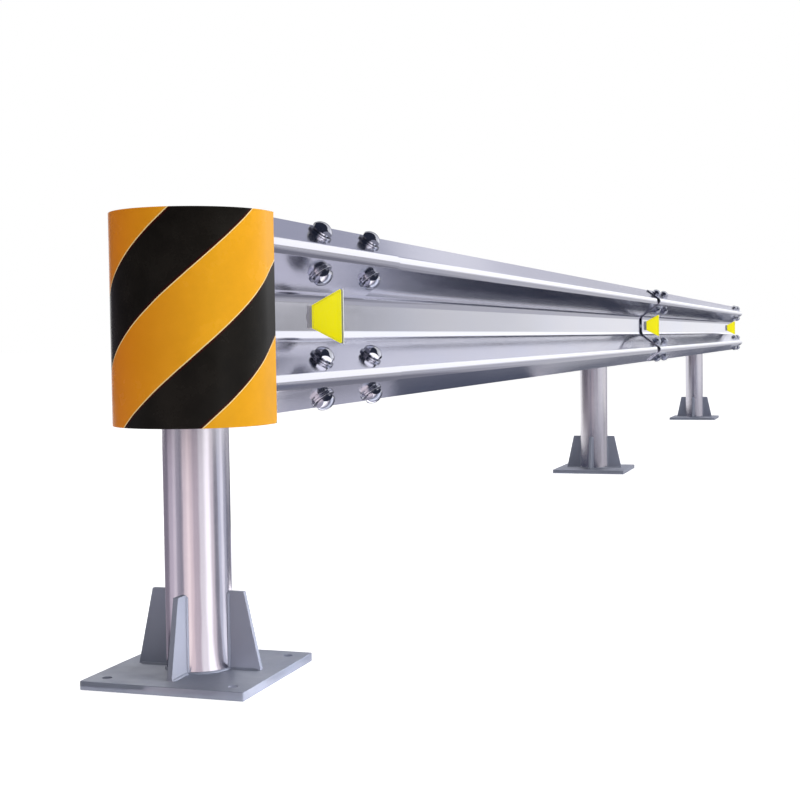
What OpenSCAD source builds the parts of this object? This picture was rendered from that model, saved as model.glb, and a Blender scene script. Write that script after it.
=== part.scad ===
// Highway guardrail section: a two-wave beam on round posts with a half-round striped nose.
// X runs along the rail, away from the nose. The traffic face looks towards -Y and Z is up.
// The origin is on the underside of the first base plate, on the axis of the first post.

/* [Line] */
// Distance between post axes along the rail
post_pitch = 4000; // [2000:500:5000]
// Length over which two beams lap at a splice
lap_len = 430; // [420:10:480]
// Distance from the first post's axis to the middle of its lap
lap_1_shift = 53; // [20:1:60]
// Distance by which each lap lies farther beyond its post than the lap before
lap_creep = 106; // [80:1:110]

/* [Posts] */
// Outside diameter of the posts
post_d = 121; // [100:1:140]
// Wall of the posts
post_wall = 4.5; // [3:0.5:8]
// Rise of the post tops above the rail's upper edge
post_rise = 7; // [0:1:60]
// Rise of the domed cap above the post top
cap_rise = 20; // [10:1:40]
// Sheet of the domed cap
cap_t = 3; // [2:0.5:5]
// Depth of the skirt of the domed cap
cap_skirt = 28; // [15:1:50]

/* [Base plates] */
// Side of the square base plates
plate_w = 315; // [290:5:400]
// Thickness of the base plates
plate_t = 16; // [8:1:30]
// Corner radius of the base plates
plate_corner_r = 3; // [1:1:20]
// Distance between anchor holes along the rail
anchor_pitch_x = 245; // [210:5:260]
// Distance between anchor holes across the rail
anchor_pitch_y = 245; // [210:5:260]
// Diameter of the anchor holes
anchor_hole_d = 18; // [12:1:26]

/* [Gussets] */
// Thickness of the gussets
gusset_t = 10; // [6:1:16]
// Height of the gussets above the base plate
gusset_h = 142; // [80:2:240]
// Reach of a gusset's foot from the post wall
gusset_foot = 62; // [40:2:80]
// Reach of a gusset's top edge from the post wall
gusset_top = 31; // [10:1:38]

/* [Rail profile] */
// Height of the rail's middle above ground
rail_z = 650; // [560:10:700]
// Height of the beam from edge to edge
beam_h = 316; // [304:2:330]
// Sheet of the beams
beam_t = 4; // [2.5:0.5:5]
// Depth of the waves from crest to valley
wave_depth = 81; // [70:1:90]
// Height of each crest above or below the rail's middle
crest_rise = 106; // [102:1:110]
// Slope of the flanks from the traffic face
flank_angle = 53; // [50:1:58]
// Bend radius of the crests, at mid sheet
crest_r = 15; // [12:1:20]
// Bend radius of the valley corners, at mid sheet
corner_r = 12; // [8:1:14]

/* [Splices] */
// Distance between the two bolt columns of a splice
column_pitch = 250; // [220:5:280]
// Shift of the inner bolt rows from the middle of their flanks towards the crests
inner_row_shift = 12; // [0:1:16]
// Width of the splice slots
splice_slot_w = 18; // [14:1:20]
// Length of the splice slots along the rail
splice_slot_len = 28; // [22:1:40]
// Width of the post bolt slot in the valley
post_slot_w = 18; // [14:1:24]
// Length of the post bolt slot along the rail
post_slot_len = 34; // [26:2:40]

/* [Blockouts] */
// Distance from the post wall to the back of the beam
blockout_reach = 156; // [120:2:220]
// Width of the blockouts along the rail
blockout_w = 196; // [170:2:240]
// Height of the blockouts
blockout_h = 200; // [120:5:260]
// Sheet of the blockouts
blockout_t = 4.5; // [3:0.5:6]
// Width of the flat front of a blockout
blockout_front_w = 96; // [70:2:120]
// Bend radius of a blockout, at mid sheet
blockout_bend_r = 9; // [5:1:14]
// Angle of post wall that the saddle clasps
saddle_angle = 110; // [80:5:130]
// Angle by which the saddle reaches past the folded strip on each side
saddle_lip_angle = 8; // [5:1:12]
// Diameter of the post bolt holes
post_bolt_hole_d = 18; // [14:1:24]

/* [Nose] */
// Outside radius of the half-round nose
nose_r = 123; // [100:1:140]
// Height of the nose plate
nose_h = 318; // [300:2:360]
// Sheet of the nose plate
nose_t = 4; // [2:0.5:6]
// Distance from the first post axis to the end of the straight rail
nose_reach = 382; // [360:2:600]
// Straight flange of the nose plate over the crests
nose_flange = 28; // [20:1:60]
// Drop of the nose plate's middle below the rail's middle
nose_drop = 6; // [0:1:12]

/* [Delineators] */
// Height of a delineator at its narrow edge, near the valley
delineator_low_h = 40; // [30:1:56]
// Height of a delineator at its wide edge
delineator_high_h = 96; // [70:1:104]
// Depth of a delineator from its narrow to its wide edge
delineator_depth = 55; // [40:1:60]
// Thickness of a delineator
delineator_t = 10; // [5:1:14]
// Distance from the valley to a delineator's narrow edge
delineator_standoff = 14; // [8:1:16]
// Sheet of the delineator brackets
bracket_t = 2.5; // [1.5:0.5:4]
// Width of a bracket's foot along the rail
bracket_foot = 36; // [34:1:56]
// Height of a bracket's foot
bracket_h = 40; // [30:1:46]

/* [Seats] */
// Clearance between curved or nested faces that seat on each other
seat_gap = 0.2; // [0.1:0.05:0.4]

/* [Hidden] */

$fn = 72;
// Facets of one bend of a folded sheet
bend_steps = 10;
// Overshoot of a cutting shape past the face that it cuts
cut = 1;

// Colours as the object shows them
zinc = "lightsteelblue";
zinc_dark = "slategray";
stripe_yellow = "orange";
lemon = "yellow";

post_r = post_d / 2;
post_h = rail_z + beam_h / 2 + post_rise;

// The valley's back rests on the blockouts
rail_back_y = -(post_r + blockout_reach);
valley_mid_y = rail_back_y - beam_t / 2;

// Corners of the mid-sheet line: distance in front of the valley, and height over the middle
crest_peak = wave_depth + crest_r * (1 / cos(flank_angle) - 1);
valley_half = crest_rise - crest_peak / tan(flank_angle);
edge_z = (beam_h - beam_t * sin(flank_angle)) / 2;
valley_corner = [0, valley_half];
crest_corner = [crest_peak, crest_rise];
edge_corner = [crest_peak - (edge_z - crest_rise) * tan(flank_angle), edge_z];

// Bolt rows on the straight parts of the flanks, left between the bends at their ends
valley_tangent = corner_r * tan(flank_angle / 2);
crest_tangent = crest_r * tan(flank_angle);
inner_row = straight_middle(valley_corner, crest_corner, valley_tangent, crest_tangent)
            + unit(crest_corner - valley_corner) * inner_row_shift;
outer_row = straight_middle(crest_corner, edge_corner, crest_tangent, 0);

// A beam that laps in front of another stands forward by one sheet, measured across the flank
nest_step = (beam_t + seat_gap) / cos(flank_angle);
lap_1_x = lap_1_shift;
lap_2_x = lap_1_x + post_pitch + lap_creep;
lap_3_x = lap_2_x + post_pitch + lap_creep;

// Beam 2 starts in front of beam 1 and runs back to its own blockout over one bay
beam_2_turn = asin(nest_step / (lap_3_x - lap_2_x - lap_len / 2));

// Forward steps of the valley at the three posts
valley_steps = [nest_step,
                (lap_3_x - post_pitch) * sin(beam_2_turn),
                (lap_3_x - 2 * post_pitch) * sin(beam_2_turn)];

// Front face of the crests under the nose plate
nose_seat_y = rail_back_y - beam_t - wave_depth - nest_step - seat_gap;
nose_centre_y = nose_seat_y - nose_t + nose_r;

function unit(v) = v / norm(v);
function left_of(v) = [-v[1], v[0]];
function turned(v, a) = [v[0] * cos(a) - v[1] * sin(a), v[0] * sin(a) + v[1] * cos(a)];

// Middle of the straight part between two corners, less the tangent lengths of their bends
function straight_middle(a, b, from_a, from_b) =
    a + unit(b - a) * (norm(b - a) + from_a - from_b) / 2;

// Bend of radius r at corner b between a and c: pairs of a point and its left normal
function bend(a, b, c, r) =
    let (u1 = unit(b - a),
         u2 = unit(c - b),
         turn = atan2(cross(u1, u2), u1 * u2),
         start = b - u1 * r * tan(abs(turn) / 2),
         centre = start + left_of(u1) * r * sign(turn))
    [for (k = [0:bend_steps])
        let (n = turned(left_of(u1), turn * k / bend_steps))
        [centre - n * r * sign(turn), n]];

// Mid-sheet line through the corners, with one bend radius for each inner corner
function folded_line(corners, radii) =
    let (last = len(corners) - 1)
    concat([[corners[0], left_of(unit(corners[1] - corners[0]))]],
           [for (i = [1:last - 1]) each bend(corners[i - 1], corners[i], corners[i + 1], radii[i - 1])],
           [[corners[last], left_of(unit(corners[last] - corners[last - 1]))]]);

// Section of a folded sheet of thickness t
module folded_sheet(corners, radii, t) {
    line = folded_line(corners, radii);
    polygon(concat([for (p = line) p[0] + p[1] * t / 2],
                   [for (i = [len(line) - 1:-1:0]) line[i][0] - line[i][1] * t / 2]));
}

// Two-wave section in Y and Z, as one folded sheet
module wave_section() {
    upper = [valley_corner, crest_corner, edge_corner];
    lower = [for (i = [2:-1:0]) [upper[i][0], -upper[i][1]]];
    corners = [for (p = concat(lower, upper)) [valley_mid_y - p[0], rail_z + p[1]]];
    folded_sheet(corners, [crest_r, corner_r, corner_r, crest_r], beam_t);
}

// Extrusion of a section in Y and Z along X
module along_x(x, length) {
    translate([x, 0, 0])
        rotate([90, 0, 90])
            linear_extrude(length)
                children();
}

// Round-ended slot through a sheet at the origin, long along X
module slot(length, width, depth) {
    for (x = [-1, 1])
        translate([x * (length - width) / 2, 0, -depth / 2])
            cylinder(h = depth, d = width);
    translate([-(length - width) / 2, -width / 2, -depth / 2])
        cube([length - width, width, depth]);
}

// Eight flank slots of a splice whose lap has its middle at x
module splice_slots(x) {
    for (column = [-1, 1], side = [-1, 1], row = [[inner_row, 1], [outer_row, -1]])
        translate([x + column * column_pitch / 2, valley_mid_y - row[0][0], rail_z + side * row[0][1]])
            rotate([90 + side * row[1] * flank_angle, 0, 0])
                slot(splice_slot_len, splice_slot_w, beam_t + 2 * cut);
}

// Slot in the valley for the post bolt at x
module post_bolt_slot(x) {
    translate([x, valley_mid_y, rail_z])
        rotate([90, 0, 0])
            slot(post_slot_len, post_slot_w, beam_t + 2 * cut);
}

// Hole along Y for the post bolt, through whatever lies between two distances
module post_bolt_hole(y_front, y_back) {
    translate([0, y_back, rail_z])
        rotate([90, 0, 0])
            cylinder(h = y_back - y_front, d = post_bolt_hole_d);
}

module at_post(i) {
    translate([(i - 1) * post_pitch, 0, 0])
        children();
}

module post() {
    color(zinc)
        difference() {
            translate([0, 0, plate_t])
                cylinder(h = post_h - plate_t, r = post_r);
            translate([0, 0, plate_t - cut])
                cylinder(h = post_h - plate_t + 2 * cut, r = post_r - post_wall);
            post_bolt_hole(-post_r - cut, post_r + cut);
        }
}

// Domed cap: a spherical shell that rests on the post's rim, with a skirt around the wall
module post_cap() {
    skirt_r = post_r + seat_gap;
    rim_r = skirt_r + cap_t;
    dome_r = (rim_r * rim_r + cap_rise * cap_rise) / (2 * cap_rise);
    inner_r = dome_r - cap_t;
    dome_z = post_h + seat_gap - sqrt(inner_r * inner_r - post_r * post_r);
    rim_z = dome_z + sqrt(dome_r * dome_r - rim_r * rim_r);
    color(zinc)
        rotate_extrude() {
            intersection() {
                translate([0, dome_z])
                    difference() {
                        circle(r = dome_r, $fn = 360);
                        circle(r = inner_r, $fn = 360);
                    }
                translate([0, post_h - cut])
                    square([rim_r, cap_rise + 4 * cut]);
            }
            translate([skirt_r, post_h - cap_skirt])
                square([cap_t, rim_z - post_h + cap_skirt]);
        }
}

module base_plate() {
    straight = plate_w - 2 * plate_corner_r;
    color(zinc_dark)
        linear_extrude(plate_t)
            difference() {
                union() {
                    square([plate_w, straight], center = true);
                    square([straight, plate_w], center = true);
                    for (x = [-1, 1], y = [-1, 1])
                        translate([x, y] * straight / 2)
                            circle(r = plate_corner_r);
                }
                for (x = [-1, 1], y = [-1, 1])
                    translate([x * anchor_pitch_x, y * anchor_pitch_y] / 2)
                        circle(d = anchor_hole_d);
            }
}

// Tapered gusset on the base plate, against the post wall, turned to an angle about the post
module gusset(angle) {
    foot_r = post_r + gusset_foot;
    top_r = post_r + gusset_top;
    top_z = plate_t + gusset_h;
    color(zinc_dark)
        difference() {
            rotate([90, 0, angle])
                translate([0, 0, -gusset_t / 2])
                    linear_extrude(gusset_t)
                        polygon([[post_r / 2, plate_t], [foot_r, plate_t], [top_r, top_z], [post_r / 2, top_z]]);
            translate([0, 0, plate_t - cut])
                cylinder(h = gusset_h + 2 * cut, r = post_r + seat_gap);
        }
}

// Blockout: a sheet folded round a hexagon and closed by a saddle on the post
module blockout() {
    front_y = rail_back_y + blockout_t / 2;
    elbow = [(blockout_w - blockout_t) / 2, (front_y - post_r) / 2];
    saddle_r = post_r + seat_gap;
    heel_angle = saddle_angle / 2 - saddle_lip_angle;
    heel = [sin(heel_angle), -cos(heel_angle)] * (saddle_r + blockout_t / 2);
    brim = [sin(saddle_angle / 2), -cos(saddle_angle / 2)] * 3 * saddle_r;
    right = [[blockout_front_w / 2, front_y], elbow, heel];
    left = [for (i = [2:-1:0]) [-right[i][0], right[i][1]]];
    color(zinc)
        translate([0, 0, rail_z - blockout_h / 2])
            difference() {
                union() {
                    linear_extrude(blockout_h)
                        folded_sheet(concat(left, right), [for (i = [1:4]) blockout_bend_r], blockout_t);
                    intersection() {
                        cylinder(h = blockout_h, r = saddle_r + blockout_t);
                        linear_extrude(blockout_h)
                            polygon([[0, 0], brim, [0, -4 * saddle_r], [-brim[0], brim[1]]]);
                    }
                }
                translate([0, 0, -cut])
                    cylinder(h = blockout_h + 2 * cut, r = saddle_r);
                translate([0, 0, blockout_h / 2 - rail_z])
                    post_bolt_hole(rail_back_y - cut, 0);
            }
}

// Beam of one bay between the laps whose middles are at x1 and x2, bolted to posts i and i + 1
module beam(i, x1, x2) {
    color(zinc)
        difference() {
            along_x(x1 - lap_len / 2, x2 - x1 + lap_len)
                wave_section();
            splice_slots(x1);
            splice_slots(x2);
            post_bolt_slot((i - 1) * post_pitch);
            post_bolt_slot(i * post_pitch);
        }
}

module beam_1() {
    beam(1, lap_1_x, lap_2_x);
}

module beam_2() {
    translate([lap_3_x, rail_back_y, 0])
        rotate([0, 0, beam_2_turn])
            translate([-lap_3_x, -rail_back_y, 0])
                beam(2, lap_2_x, lap_3_x);
}

// Short rail that laps in front of beam 1 and ends where the nose starts to turn
module terminal_section() {
    color(zinc)
        translate([0, -nest_step, 0])
            difference() {
                along_x(-nose_reach, nose_reach + lap_1_x + lap_len / 2)
                    wave_section();
                splice_slots(lap_1_x);
                post_bolt_slot(0);
            }
}

// Half-round plate that wraps the end, with a straight flange along each side
module nose_plate() {
    color(stripe_yellow)
        translate([-nose_reach, nose_centre_y, rail_z - nose_drop - nose_h / 2])
            linear_extrude(nose_h) {
                difference() {
                    circle(r = nose_r, $fn = 180);
                    circle(r = nose_r - nose_t, $fn = 180);
                    translate([0, -nose_r - cut])
                        square([nose_r + cut, 2 * (nose_r + cut)]);
                }
                for (y = [-nose_r, nose_r - nose_t])
                    translate([0, y])
                        square([nose_flange, nose_t]);
            }
}

// Valley face that carries the bracket of post i
function bracket_seat_y(i) = rail_back_y - beam_t - valley_steps[i - 1] - seat_gap;

// Trapezoid of a delineator in Y and Z, narrow edge near the valley
module delineator_outline(narrow_y) {
    wide_y = narrow_y - delineator_depth;
    polygon([[narrow_y, -delineator_low_h / 2], [wide_y, -delineator_high_h / 2],
             [wide_y, delineator_high_h / 2], [narrow_y, delineator_low_h / 2]]);
}

// Bracket: a foot under the post bolt's head and an upstand behind the delineator
module reflector_bracket(i) {
    seat_y = bracket_seat_y(i);
    color(zinc)
        translate([-bracket_foot / 2, 0, rail_z]) {
            difference() {
                translate([0, seat_y - bracket_t, -bracket_h / 2])
                    cube([bracket_foot, bracket_t, bracket_h]);
                translate([bracket_foot / 2, seat_y + cut, 0])
                    rotate([90, 0, 0])
                        cylinder(h = bracket_t + 2 * cut, d = post_bolt_hole_d);
            }
            along_x(0, bracket_t) {
                translate([seat_y - delineator_standoff - cut, -bracket_h / 2])
                    square([delineator_standoff + cut, bracket_h]);
                delineator_outline(seat_y - delineator_standoff);
            }
        }
}

// Delineator: a trapezoid plate on the face of its bracket that looks towards the nose
module reflector(i) {
    color(lemon)
        translate([0, 0, rail_z])
            along_x(-bracket_foot / 2 - delineator_t, delineator_t)
                delineator_outline(bracket_seat_y(i) - delineator_standoff);
}

at_post(1) post();  // post_1
at_post(2) post();  // post_2
at_post(3) post();  // post_3
at_post(1) post_cap();  // post_cap_1
at_post(2) post_cap();  // post_cap_2
at_post(3) post_cap();  // post_cap_3
at_post(1) base_plate();  // base_plate_1
at_post(2) base_plate();  // base_plate_2
at_post(3) base_plate();  // base_plate_3
at_post(1) gusset(180);  // gusset_1_near
at_post(1) gusset(0);  // gusset_1_far
at_post(1) gusset(270);  // gusset_1_front
at_post(1) gusset(90);  // gusset_1_back
at_post(2) gusset(180);  // gusset_2_near
at_post(2) gusset(0);  // gusset_2_far
at_post(2) gusset(270);  // gusset_2_front
at_post(2) gusset(90);  // gusset_2_back
at_post(3) gusset(180);  // gusset_3_near
at_post(3) gusset(0);  // gusset_3_far
at_post(3) gusset(270);  // gusset_3_front
at_post(3) gusset(90);  // gusset_3_back
at_post(1) blockout();  // blockout_1
at_post(2) blockout();  // blockout_2
at_post(3) blockout();  // blockout_3
beam_1();
beam_2();
terminal_section();
nose_plate();
at_post(1) reflector_bracket(1);  // reflector_bracket_1
at_post(2) reflector_bracket(2);  // reflector_bracket_2
at_post(3) reflector_bracket(3);  // reflector_bracket_3
at_post(1) reflector(1);  // reflector_1
at_post(2) reflector(2);  // reflector_2
at_post(3) reflector(3);  // reflector_3
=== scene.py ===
"""Highway guardrail section, dressed for rendering: two-wave rails, striped nose, posts, bolts and studio.

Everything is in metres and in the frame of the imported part. X runs along the rail, the traffic face looks
to -Y, and Z is up.
"""

import itertools
import math
from collections import namedtuple

import bpy
import numpy as np
from bpy.props import FloatProperty, FloatVectorProperty, IntProperty, PointerProperty
from bpy.types import Operator, Panel, PropertyGroup
from mathutils import Matrix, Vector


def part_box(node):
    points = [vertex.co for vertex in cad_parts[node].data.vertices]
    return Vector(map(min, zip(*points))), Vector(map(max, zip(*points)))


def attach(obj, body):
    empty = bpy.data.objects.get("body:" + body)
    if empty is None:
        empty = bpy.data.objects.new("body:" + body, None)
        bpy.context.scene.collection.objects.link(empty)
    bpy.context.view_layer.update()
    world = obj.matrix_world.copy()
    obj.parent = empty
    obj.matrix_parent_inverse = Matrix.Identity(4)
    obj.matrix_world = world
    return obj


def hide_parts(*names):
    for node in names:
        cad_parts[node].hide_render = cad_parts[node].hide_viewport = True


bl_info = {
    "name": "Guardrail section",
    "version": (1, 0, 0),
    "blender": (4, 5, 0),
    "location": "3D View > Sidebar > Guardrail",
    "description": "Builds the sheets, tubes, bolts, finishes and studio of a highway guardrail section",
    "category": "Object",
}

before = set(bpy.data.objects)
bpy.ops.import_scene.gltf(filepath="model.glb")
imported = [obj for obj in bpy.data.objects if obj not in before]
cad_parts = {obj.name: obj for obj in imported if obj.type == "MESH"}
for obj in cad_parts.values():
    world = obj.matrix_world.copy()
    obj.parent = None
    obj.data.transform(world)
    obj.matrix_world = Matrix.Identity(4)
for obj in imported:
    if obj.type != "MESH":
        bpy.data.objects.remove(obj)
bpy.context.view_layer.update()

POSTS = (1, 2, 3)
X, Y, Z = np.eye(3)
WELD = 2e-6  # Corners nearer than this share one vertex
HAIR = 1e-6  # Slack for comparing two places
SHARP = 2e-4  # Least radius of a pressed corner
SLOT_RIM = 0.004  # Strip between a slot's outline and the grid round it
END_STRIP = 0.002  # Strip at a sheet's ends that the grid leaves free


def node_size(node, axis):
    low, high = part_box(node)
    return high[axis] - low[axis]


def node_middle(node, axis):
    low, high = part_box(node)
    return (high[axis] + low[axis]) / 2


def length(name, description, default, top=10.0):
    return FloatProperty(name=name, description=description, default=default, min=0.0, max=top, precision=4,
                         subtype="DISTANCE", unit="LENGTH")


def angle(name, description, degrees):
    return FloatProperty(name=name, description=description, default=math.radians(degrees), min=0.0,
                         max=math.pi, subtype="ANGLE", unit="ROTATION")


def share(name, description, default):
    return FloatProperty(name=name, description=description, default=default, min=0.0, max=1.0,
                         subtype="FACTOR")


def colour(name, description, default):
    return FloatVectorProperty(name=name, description=description, default=default, size=3, min=0.0, max=1.0,
                               subtype="COLOR")


class GUARDRAIL_PG_rail(PropertyGroup):
    """Section of the two-wave sheet and its slots"""
    height: length("Height", "Height of the section", node_size("beam_1", 2))
    sheet: length("Sheet", "Thickness of the rail sheet", 0.004)
    depth: length("Wave depth", "Depth from the valley to the crests", 0.081)
    crest: length("Crest height", "Height of a crest over the middle of the section", 0.106)
    flank: angle("Flank angle", "Slope of the flanks against the valley", 53)
    crest_bend: length("Crest bend", "Bend radius of the crests at mid sheet", 0.015)
    corner_bend: length("Corner bend", "Bend radius of the valley corners at mid sheet", 0.028)
    pitch: length("Bolt column pitch", "Distance of the two bolt columns of a lap", 0.25)
    row_shift: length("Inner row shift", "Shift of the inner bolt rows towards the crests", 0.008)
    slot_length: length("Slot length", "Length of a splice slot", 0.028)
    slot_width: length("Slot width", "Width of a splice slot", 0.018)
    post_slot: length("Post slot length", "Length of a post bolt's slot in the valley", 0.034)
    lap_gap: length("Lap gap", "Gap between two lapped sheets", 0.0002)
    edge: length("Edge roll", "Radius on the sheared edges", 0.0007)


class GUARDRAIL_PG_post(PropertyGroup):
    """Posts, base plates and blockouts"""
    pitch: length("Post pitch", "Distance between two posts",
                  node_middle("post_2", 0) - node_middle("post_1", 0))
    radius: length("Post radius", "Outside radius of the post tube", node_size("post_1", 0) / 2)
    wall: length("Post wall", "Wall of the post tube", 0.0045)
    cap_sheet: length("Cap sheet", "Sheet of the post cap", 0.003)
    cap_rise: length("Cap rise", "Rise of the cap's dome", 0.02)
    anchor_pitch: length("Anchor pitch", "Distance between two anchor holes", 0.245)
    anchor_hole: length("Anchor hole", "Diameter of an anchor hole", 0.018)
    gusset_sheet: length("Gusset sheet", "Thickness of a gusset", 0.01)
    gusset_foot: length("Gusset foot", "Reach of a gusset at the plate", 0.062)
    gusset_top: length("Gusset top", "Reach of a gusset at its top", 0.031)
    blockout_sheet: length("Blockout sheet", "Sheet of the blockouts", 0.0045)
    blockout_front: length("Blockout front", "Width of a blockout behind the rail", 0.096)
    blockout_bend: length("Blockout bend", "Bend radius of a blockout", 0.009)
    saddle: angle("Saddle angle", "Angle of the post that a saddle covers", 110)
    saddle_lip: angle("Saddle lip", "Angle of the saddle beyond the folded strip", 8)
    bead: length("Weld leg", "Leg of the weld beads", 0.0035)


class GUARDRAIL_PG_fasteners(PropertyGroup):
    """Splice bolts, post bolts and delineators"""
    splice_head: length("Splice bolt head", "Width across flats of a splice bolt's head", 0.034)
    splice_height: length("Splice head height", "Height of a splice bolt's domed head", 0.015)
    splice_dome: length("Splice head dome", "Radius of the dome on a splice bolt's head", 0.022)
    splice_nut_height: length("Splice nut height", "Height of a splice nut", 0.013)
    splice_nut: length("Splice nut", "Width across flats of a splice nut", 0.027)
    splice_washer: length("Splice washer", "Outside diameter of a splice washer", 0.044)
    splice_shank: length("Splice shank", "Diameter of a splice bolt", 0.0165)
    post_head: length("Post bolt head", "Width across flats of a post bolt", 0.024)
    post_shank: length("Post bolt shank", "Diameter of a post bolt", 0.016)
    thread: length("Thread pitch", "Pitch of the threads", 0.0025)
    bracket_sheet: length("Bracket sheet", "Sheet of a delineator bracket", 0.0025)
    bracket_height: length("Bracket height", "Height of a bracket's foot", 0.04)
    lens_narrow: length("Lens narrow edge", "Height of a delineator's narrow edge", 0.04)


class GUARDRAIL_PG_finish(PropertyGroup):
    """Colours of the finishes"""
    rail_zinc: colour("Rail zinc", "Zinc of the rails", (0.60, 0.60, 0.66))
    post_zinc: colour("Post zinc", "Zinc of posts and blockouts", (0.64, 0.61, 0.65))
    plate_zinc: colour("Plate zinc", "Duller zinc of plates and gussets", (0.33, 0.35, 0.43))
    bracket_zinc: colour("Bracket zinc", "Pale zinc of the delineator brackets", (0.88, 0.88, 0.92))
    bolt_zinc: colour("Bolt zinc", "Bright zinc of the bolts", (0.58, 0.59, 0.66))
    yellow: colour("Stripe yellow", "Yellow of the nose stripes", (0.86, 0.40, 0.012))
    black: colour("Stripe black", "Black of the nose stripes", (0.008, 0.0065, 0.005))
    lemon: colour("Delineator lemon", "Lemon yellow of the delineators", (0.97, 0.88, 0.001))
    stripe_period: length("Stripe period", "Height of one yellow and one black stripe", 0.241)
    stripe_start: FloatProperty(name="Stripe start", description="Height at which a black stripe starts",
                                default=-0.054, unit="LENGTH", subtype="DISTANCE")
    stripe_slope: FloatProperty(name="Stripe slope", description="Fall of the stripes along the sheet",
                                default=0.87, min=0.0, max=2.0)


class GUARDRAIL_PG_studio(PropertyGroup):
    """Camera and light"""
    place: FloatVectorProperty(name="Camera place", description="Where the camera stands",
                               default=(-2.3186, -1.1521, 0.6110), size=3, unit="LENGTH", subtype="TRANSLATION")
    turn: FloatVectorProperty(name="Camera turn", description="Yaw from +X towards +Y, pitch and roll",
                              default=(math.radians(18.152), math.radians(-2.514), math.radians(-0.809)),
                              size=3, unit="ROTATION", subtype="EULER")
    lens: FloatProperty(name="Lens", description="Focal length for a 36 mm sensor", default=63.56, min=1.0)
    fill: share("Fill", "Strength of the white surround", 0.52)
    round_steps: IntProperty(name="Round steps", description="Facets round a post", default=128, min=24,
                             max=256)


# Mesh maker


Line = namedtuple("Line", "points normals run")


class Place(namedtuple("Place", "origin axes")):
    """Where a shape stands. Its point p lies at origin + p @ axes, where axes are three unit rows."""

    def point(self, p):
        return self.origin + p @ self.axes

    def way(self, v):
        return v @ self.axes

    def raised(self, by):
        """The same place moved along its third axis."""
        return Place(self.origin + self.axes[2] * by, self.axes)


def at(origin, *axes):
    return Place(np.array(origin, float), np.array(axes, float))


def upright(x, y=0.0, z=0.0):
    return at((x, y, z), X, Y, Z)


def spanning_up(x=0.0, z=0.0):
    """Place of a sheet whose span runs along Z and whose section lies in X and Y."""
    return at((x, 0, z), Z, X, Y)


def polar(radius, turn, height):
    """Points at a radius and an angle about the Z axis of a shape: (r cos a, r sin a, z)."""
    radius, turn, height = np.broadcast_arrays(radius, turn, height)
    return np.stack([radius * np.cos(turn), radius * np.sin(turn), height], -1)


def unit(v):
    """Rows of v, each made one long."""
    return v / np.linalg.norm(v, axis=-1, keepdims=True)


def travelled(points):
    """Way along a row of points to each of them."""
    return np.concatenate([[0], np.cumsum(np.linalg.norm(np.diff(points, axis=0), axis=1))])


def linked(name, data):
    """New object in the scene for a mesh, lamp or camera."""
    made = bpy.data.objects.new(name, data)
    bpy.context.scene.collection.objects.link(made)
    return made


class Shell:
    """Collects patches of faces with a normal and a sheet coordinate for each corner, and welds them into
    one mesh."""

    def __init__(self):
        self.parts, self.count = [], 0

    def polygons(self, points, normals, sheet, faces):
        """faces is k rows of m corner numbers. A face is turned round where its own normal, the sum of the
        cross products of neighbouring corners taken from its first one, looks against the corners' given
        normals."""
        spokes = points[faces] - points[faces[:, :1]]
        own = np.cross(spokes, np.roll(spokes, -1, 1)).sum(1)
        inward = (own * normals[faces].sum(1)).sum(1) < 0
        faces = np.where(inward[:, None], faces[:, ::-1], faces)
        self.parts.append((points, normals, sheet, faces.ravel() + self.count,
                           np.full(len(faces), faces.shape[1])))
        self.count += len(points)

    def grid(self, points, normals, sheet):
        """points is (..., m, n, 3): one or more grids whose neighbours make four-cornered faces."""
        rows, columns = points.shape[-3:-1]
        number = np.arange(rows * columns).reshape(rows, columns)
        cell = np.stack([number[:-1, :-1], number[1:, :-1], number[1:, 1:], number[:-1, 1:]], -1).reshape(-1, 4)
        several = points.size // (3 * rows * columns)
        faces = (np.arange(several)[:, None, None] * rows * columns + cell).reshape(-1, 4)
        normals = np.broadcast_to(normals, points.shape).reshape(-1, 3)
        sheet = np.broadcast_to(sheet, points.shape[:-1] + (2,)).reshape(-1, 2)
        self.polygons(points.reshape(-1, 3), normals, sheet, faces)

    def cover(self, points, normal, sheet):
        """One flat face through a closed row of points."""
        self.polygons(points, np.broadcast_to(normal, points.shape), sheet, np.arange(len(points))[None])

    def piece(self, name, material):
        """Welds corners that share a place, drops what has no area, and returns the mesh's object."""
        points, normals, sheet, corner, sizes = (np.concatenate(part) for part in zip(*self.parts))
        _, first, spot = np.unique(np.round(points / WELD).astype(np.int64), axis=0, return_index=True,
                                   return_inverse=True)
        spot = spot.ravel()[corner]
        starts = np.cumsum(sizes) - sizes
        face = np.repeat(np.arange(len(sizes)), sizes)
        following = np.arange(len(corner)) + 1
        following[starts + sizes - 1] = starts
        apart = spot != spot[following]
        left = np.bincount(face[apart], minlength=len(sizes))
        apart &= (left > 2)[face]
        left = left[left > 2]
        corner, spot = corner[apart], spot[apart]
        mesh = bpy.data.meshes.new(name)
        mesh.vertices.add(len(first))
        mesh.vertices.foreach_set("co", points[first].ravel())
        mesh.loops.add(len(spot))
        mesh.loops.foreach_set("vertex_index", spot)
        mesh.polygons.add(len(left))
        mesh.polygons.foreach_set("loop_start", np.cumsum(left) - left)
        mesh.update(calc_edges=True)
        mesh.uv_layers.new(name="Sheet").uv.foreach_set("vector", sheet[corner].ravel())
        if mesh.validate():
            raise RuntimeError(f"{name} has faces that Blender takes out")
        mesh.shade_smooth()
        mesh.normals_split_custom_set(normals[corner].tolist())
        mesh.materials.append(material)
        return linked(name, mesh)


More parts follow.
